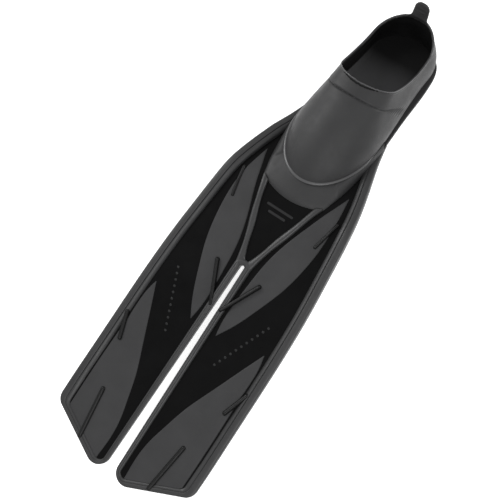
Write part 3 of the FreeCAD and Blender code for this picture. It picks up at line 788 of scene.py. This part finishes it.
def seam_offset(y, height):
    """Distance heelward of the groove between vamp and collar."""
    at = cubic([p[1] for p in FRONT_SEAM], [p[0] for p in FRONT_SEAM], np.clip(height, -5, 100))
    return (y - at) * 0.75


def wall_grid(side_inset, toe_wall, levels, columns, bottom, rim_inset=None):
    """Rows of points up the wall; rim_inset thins the wall towards the opening's edge."""
    grid = np.zeros((levels, columns, 3))
    us = np.linspace(0, 1, columns // 2 + 1)
    tops = [rim_height(u, side_inset, toe_wall) for u in us]
    for c, u in enumerate(us):
        for r in range(levels):
            k = r / (levels - 1)
            share = 1 - (1 - k) ** 1.45
            h = bottom + (tops[c] - bottom) * share
            toe = float(np.interp(h, LAST[:, 0], TOE_WALL)) if toe_wall else 0.0
            inset = side_inset
            if rim_inset is not None:
                thin = ease((h - tops[c] + 14) / 14)
                inset += (rim_inset - side_inset) * thin
                toe += (rim_inset * 1.6 - toe) * thin
            x, y = last_point(u, h, inset, toe)
            grid[r, c] = (x, y, h + SOLE_BOTTOM)
            if 0 < c < columns // 2:
                grid[r, columns - c] = (-x, y, h + SOLE_BOTTOM)
    return grid


def grid_normals(grid):
    """Outward directions at the points of a wall grid."""
    du = np.roll(grid, -1, 1) - np.roll(grid, 1, 1)
    dv = np.gradient(grid, axis=0)
    n = np.cross(du, dv)
    n /= np.maximum(np.linalg.norm(n, axis=-1, keepdims=True), 1e-9)
    outward = grid[..., :2] * [1, 0] + (grid[..., :2] - [0, 260]) * [0, 1]
    flip = np.sign((n[..., 0] * outward[..., 0] + n[..., 1] * outward[..., 1]).sum())
    return n * flip


def paint_inside_shade(piece):
    """Give the faces that look into the foot's space a darker colour: painted shade inside the
    pocket.
    """
    piece.data.materials.append(INSIDE_WALL_SHADE)
    middle_y = place([0, 290.0, 0])[1]
    for face in piece.data.polygons:
        inward = -face.normal.x * face.center.x + face.normal.y * (middle_y - face.center.y)
        if inward > 0.012 and face.normal.z < 0.75:
            face.material_index = 1


def build_pocket():
    """Pocket wall with the seam between vamp and collar, and the rolled edge of its opening."""
    levels, columns = 170, 200
    outer = wall_grid(0.0, False, levels, columns, 5.0)
    normals = grid_normals(outer)
    height = outer[..., 2] - SOLE_BOTTOM
    offset = seam_offset(outer[..., 1], height)
    visible = ease((height - 12) / 20)
    shape = 0.6 * ease(offset / 1.6) - 1.4 * np.exp(-(offset / 0.9) ** 2)
    rim_gap = np.linalg.norm(outer - outer[-1:], axis=-1)
    bead = 0.6 * ease((2.6 - rim_gap) / 1.4)
    outer = outer + normals * (shape * visible + bead)[..., None]
    inner = wall_grid(SIDE_WALL, True, 50, columns, 7.0, rim_inset=RIM_THICKNESS)
    mid = (outer[-1] + inner[-1]) / 2
    half = (outer[-1] - inner[-1]) / 2
    size = np.linalg.norm(half, axis=-1, keepdims=True)
    lip = []
    for angle in np.linspace(0, math.pi, 9)[1:-1]:
        up = np.array([0, 0, 1.0]) * np.minimum(size, 2.2) * math.sin(angle)
        lip.append(mid + half * math.cos(angle) + up)
    rows = leaned(np.concatenate([outer, np.array(lip), inner[::-1]]))
    count = len(rows)
    faces = loop_faces(count, columns, close_ends=False)
    for c in range(columns):
        d = (c + 1) % columns
        faces.append((c, d, (count - 1) * columns + d, (count - 1) * columns + c))
    piece = make_piece("pocket_skin", place(rows).reshape(-1, 3), faces, POCKET, 50)
    paint_inside_shade(piece)
    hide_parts("foot_upper", "ankle_collar", "heel_cup")
    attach(piece, "foot_pocket")
    build_rim_line(leaned(mid + half * 0.55 + [0, 0, 1.6]))


def build_rim_line(centres):
    """Fine moulded bead that runs round the edge of the opening, in a lighter rubber that paints
    a highlight on it.
    """
    count = len(centres)
    ring = 10
    along = np.roll(centres, -1, 0) - np.roll(centres, 1, 0)
    along /= np.linalg.norm(along, axis=-1, keepdims=True)
    aside = np.cross(along, [0, 0, 1.0])
    aside /= np.linalg.norm(aside, axis=-1, keepdims=True)
    over = np.cross(aside, along)
    turns = np.linspace(0, 2 * math.pi, ring, endpoint=False)
    rows = [[c + RIM_BEAD_RADIUS * (a * math.cos(t) + o * math.sin(t)) for t in turns]
            for c, a, o in zip(centres, aside, over)]
    faces = loop_faces(count, ring, close_ends=False)
    last = (count - 1) * ring
    faces += [(last + k, last + (k + 1) % ring, (k + 1) % ring, k) for k in range(ring)]
    piece = make_piece("rim_bead", place(rows).reshape(-1, 3), faces, HIGHLIGHT_EDGE_RUBBER, 60)
    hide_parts("opening_rim")
    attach(piece, "foot_pocket")


def build_welt():
    """Rounded ridge around the toes, in a lighter rubber that paints a highlight on it."""
    us = [u for u in np.linspace(0, 0.5, 70) if last_point(u, WELT_HEIGHT)[1] <= WELT_END]
    line = [(-1, u) for u in reversed(us[1:])] + [(1, u) for u in us]
    loops = []
    for k, (sign, u) in enumerate(line):
        end = ease(min(k, len(line) - 1 - k) / 9)
        loop = []
        for angle in np.linspace(0, 2 * math.pi, 16, endpoint=False):
            out = -0.3 - (1.9 * end) * max(math.cos(angle), -0.6)
            h = WELT_HEIGHT + (0.4 + 0.9 * end) * math.sin(angle)
            x, y = last_point(u, h, out, out)
            loop.append((sign * x, y, h + SOLE_BOTTOM))
        loops.append(loop)
    piece = tube("toe_welt_skin", leaned(loops), 1, HIGHLIGHT_EDGE_RUBBER, 60)
    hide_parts("toe_welt")
    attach(piece, "foot_pocket")


def build_footbed():
    """Dished footbed with a sewn line a little way in from its edge."""
    columns = 120
    rings = 26
    us = np.linspace(0, 1, columns // 2 + 1)
    edge = [last_point(u, 12, SIDE_WALL - 0.6, 5.0) for u in us]
    loop = edge + [(-x, y) for x, y in reversed(edge[1:-1])]

    def ring_at(share, height):
        return [(x * share, FOOTBED_CENTRE + (y - FOOTBED_CENTRE) * share, height + SOLE_BOTTOM)
                for x, y in loop]

    rows = []
    for share in np.linspace(0.02, 1, rings):
        dish = 0.3 + 2.4 * share ** 7 - 0.9 * math.exp(-((share - 0.86) / 0.012) ** 2)
        rows.append(ring_at(share, FOOTBED_TOP + dish))
    rows.append(ring_at(1, FOOTBED_BASE))
    rows.append(ring_at(0.02, FOOTBED_BASE))
    pts = leaned(rows)
    faces = loop_faces(*pts.shape[:2])
    piece = make_piece("footbed_skin", place(pts).reshape(-1, 3), faces, INSIDE, 50)
    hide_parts("footbed")
    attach(piece, "foot_pocket")


def tab_centre(rise):
    """Middle of the tab's thickness at a distance from its pivot (y, height)."""
    lift = max(rise, 0.0)
    bow = 0.0016 * lift ** 2
    return (TAB_PIVOT[0] + lift * math.sin(TAB_TILT) + bow - 0.25 * min(rise, 0.0),
            TAB_PIVOT[1] + min(rise, 0.0) + lift * math.cos(TAB_TILT))


def build_tab():
    """Soft pull tab that grows out of the opening's edge with a flared foot."""
    loops = []
    for rise in finer_ends((-TAB_FOOT, 3, TAB_LENGTH), (16, 34)):
        flare = ease((3 - rise) / (TAB_FOOT + 3))
        to_top = (TAB_LENGTH - rise) / TAB_ROUNDING
        round_off = math.sqrt(max(1 - (1 - min(to_top, 1)) ** 2, 0.004))
        half = (TAB_HALF_WIDTH - 0.06 * max(rise, 0)) * round_off + TAB_FLARE * flare ** 1.4
        ridge = 0.30 * max(math.sin((rise - 8) * 1.2), 0) if 8 < rise < 20 else 0
        depth = (1.5 + 0.3 * flare) * math.sqrt(max(1 - (1 - min(to_top * 3, 1)) ** 2, 0.05))
        y, h = tab_centre(rise)
        loop = []
        for angle in np.linspace(0, 2 * math.pi, 36, endpoint=False):
            ca, sa = math.cos(angle), math.sin(angle)
            x = half * math.copysign(abs(ca) ** 0.45, ca)
            thick = (depth + ridge * (abs(ca) < 0.8)) * math.copysign(abs(sa) ** 0.5, sa)
            round_heel = HEEL_RADIUS - math.sqrt(HEEL_RADIUS ** 2 - x ** 2)
            wrap = round_heel * ease((9 - rise) / 12)
            loop.append((x + lean(TAB_PIVOT[0]), y + thick - wrap, h + SOLE_BOTTOM))
        loops.append(loop)
    piece = tube("pull_tab_skin", loops, 1, POCKET, 50)
    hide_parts("heel_pull_tab", "heel_tab_anchor")
    y, z = TAB_PIVOT[0], TAB_PIVOT[1] + SOLE_BOTTOM
    bend_between(piece)


# ---------------------------------------------------------------- CAD nodes that stay
def paint(node, material):
    """Give a CAD node that has no look of its own one of the rubbers or plastics."""
    mesh = frame["nodes"][node].data
    mesh.materials.clear()
    mesh.materials.append(material)


def build_stage():
    """Bright, evenly lit white floor."""
    size = 6.0
    verts = [(-size, -size, 0), (size, -size, 0), (size, size, 0), (-size, size, 0)]
    mesh = bpy.data.meshes.new("floor")
    mesh.from_pydata(verts, [], [(0, 1, 2, 3)])
    floor = bpy.data.objects.new("floor", mesh)
    bpy.context.scene.collection.objects.link(floor)
    mat, nodes, links, shader = new_material("floor_paint")
    shader.inputs["Base Color"].default_value = (0.86, 0.86, 0.86, 1)
    shader.inputs["Roughness"].default_value = 0.9
    shader.inputs["Emission Color"].default_value = (1, 1, 1, 1)
    shader.inputs["Emission Strength"].default_value = 0.75
    mesh.materials.append(mat)


def add_light(name, place_m, size, power):
    """Round soft light that faces the middle of the fin."""
    data = bpy.data.lights.new(name, "AREA")
    data.shape = "DISK"
    data.size = size
    data.energy = power
    lamp = bpy.data.objects.new(name, data)
    lamp.location = place_m
    lamp.rotation_euler = (-Vector(place_m)).to_track_quat("-Z", "Y").to_euler()
    bpy.context.scene.collection.objects.link(lamp)


def build_lights():
    """White surroundings and three soft lights."""
    world = bpy.data.worlds.new("studio")
    bpy.context.scene.world = world
    world.use_nodes = True
    world.node_tree.nodes["Background"].inputs["Color"].default_value = (1, 1, 1, 1)
    world.node_tree.nodes["Background"].inputs["Strength"].default_value = 0.7
    for light in LIGHTS:
        add_light(*light)


def build_camera():
    """Looks down on the fin so that it lies across the picture, pull tab at the upper right."""
    data = bpy.data.cameras.new("camera")
    data.sensor_width = 36.0
    data.lens = 72.0
    camera = bpy.data.objects.new("camera", data)
    aim = ROOT_POINT + Vector(CAMERA_AIM)
    level = math.cos(CAMERA_ELEVATION)
    away = Vector((math.sin(CAMERA_AZIMUTH) * level, math.cos(CAMERA_AZIMUTH) * level,
                   math.sin(CAMERA_ELEVATION)))
    turn = (-away).to_track_quat("-Z", "Y").to_matrix().to_4x4()
    roll = Matrix.Rotation(CAMERA_ROLL, 4, "Z")
    camera.matrix_world = Matrix.Translation(aim + away * CAMERA_DISTANCE) @ turn @ roll
    bpy.context.scene.collection.objects.link(camera)
    bpy.context.scene.camera = camera


build_camera()
build_frames()
build_plates()
build_membranes()
build_ribs()
build_throat()
build_pocket()
build_welt()
build_footbed()
build_tab()
for node_name in ("outsole", "heel_tread", "forefoot_tread"):
    paint(node_name, SOLE)
paint("sole_shank", SHANK)
paint("window_panel", PLATE)
paint("window_badge", MARK)
build_stage()
build_lights()
bpy.context.scene.view_settings.view_transform = "Standard"
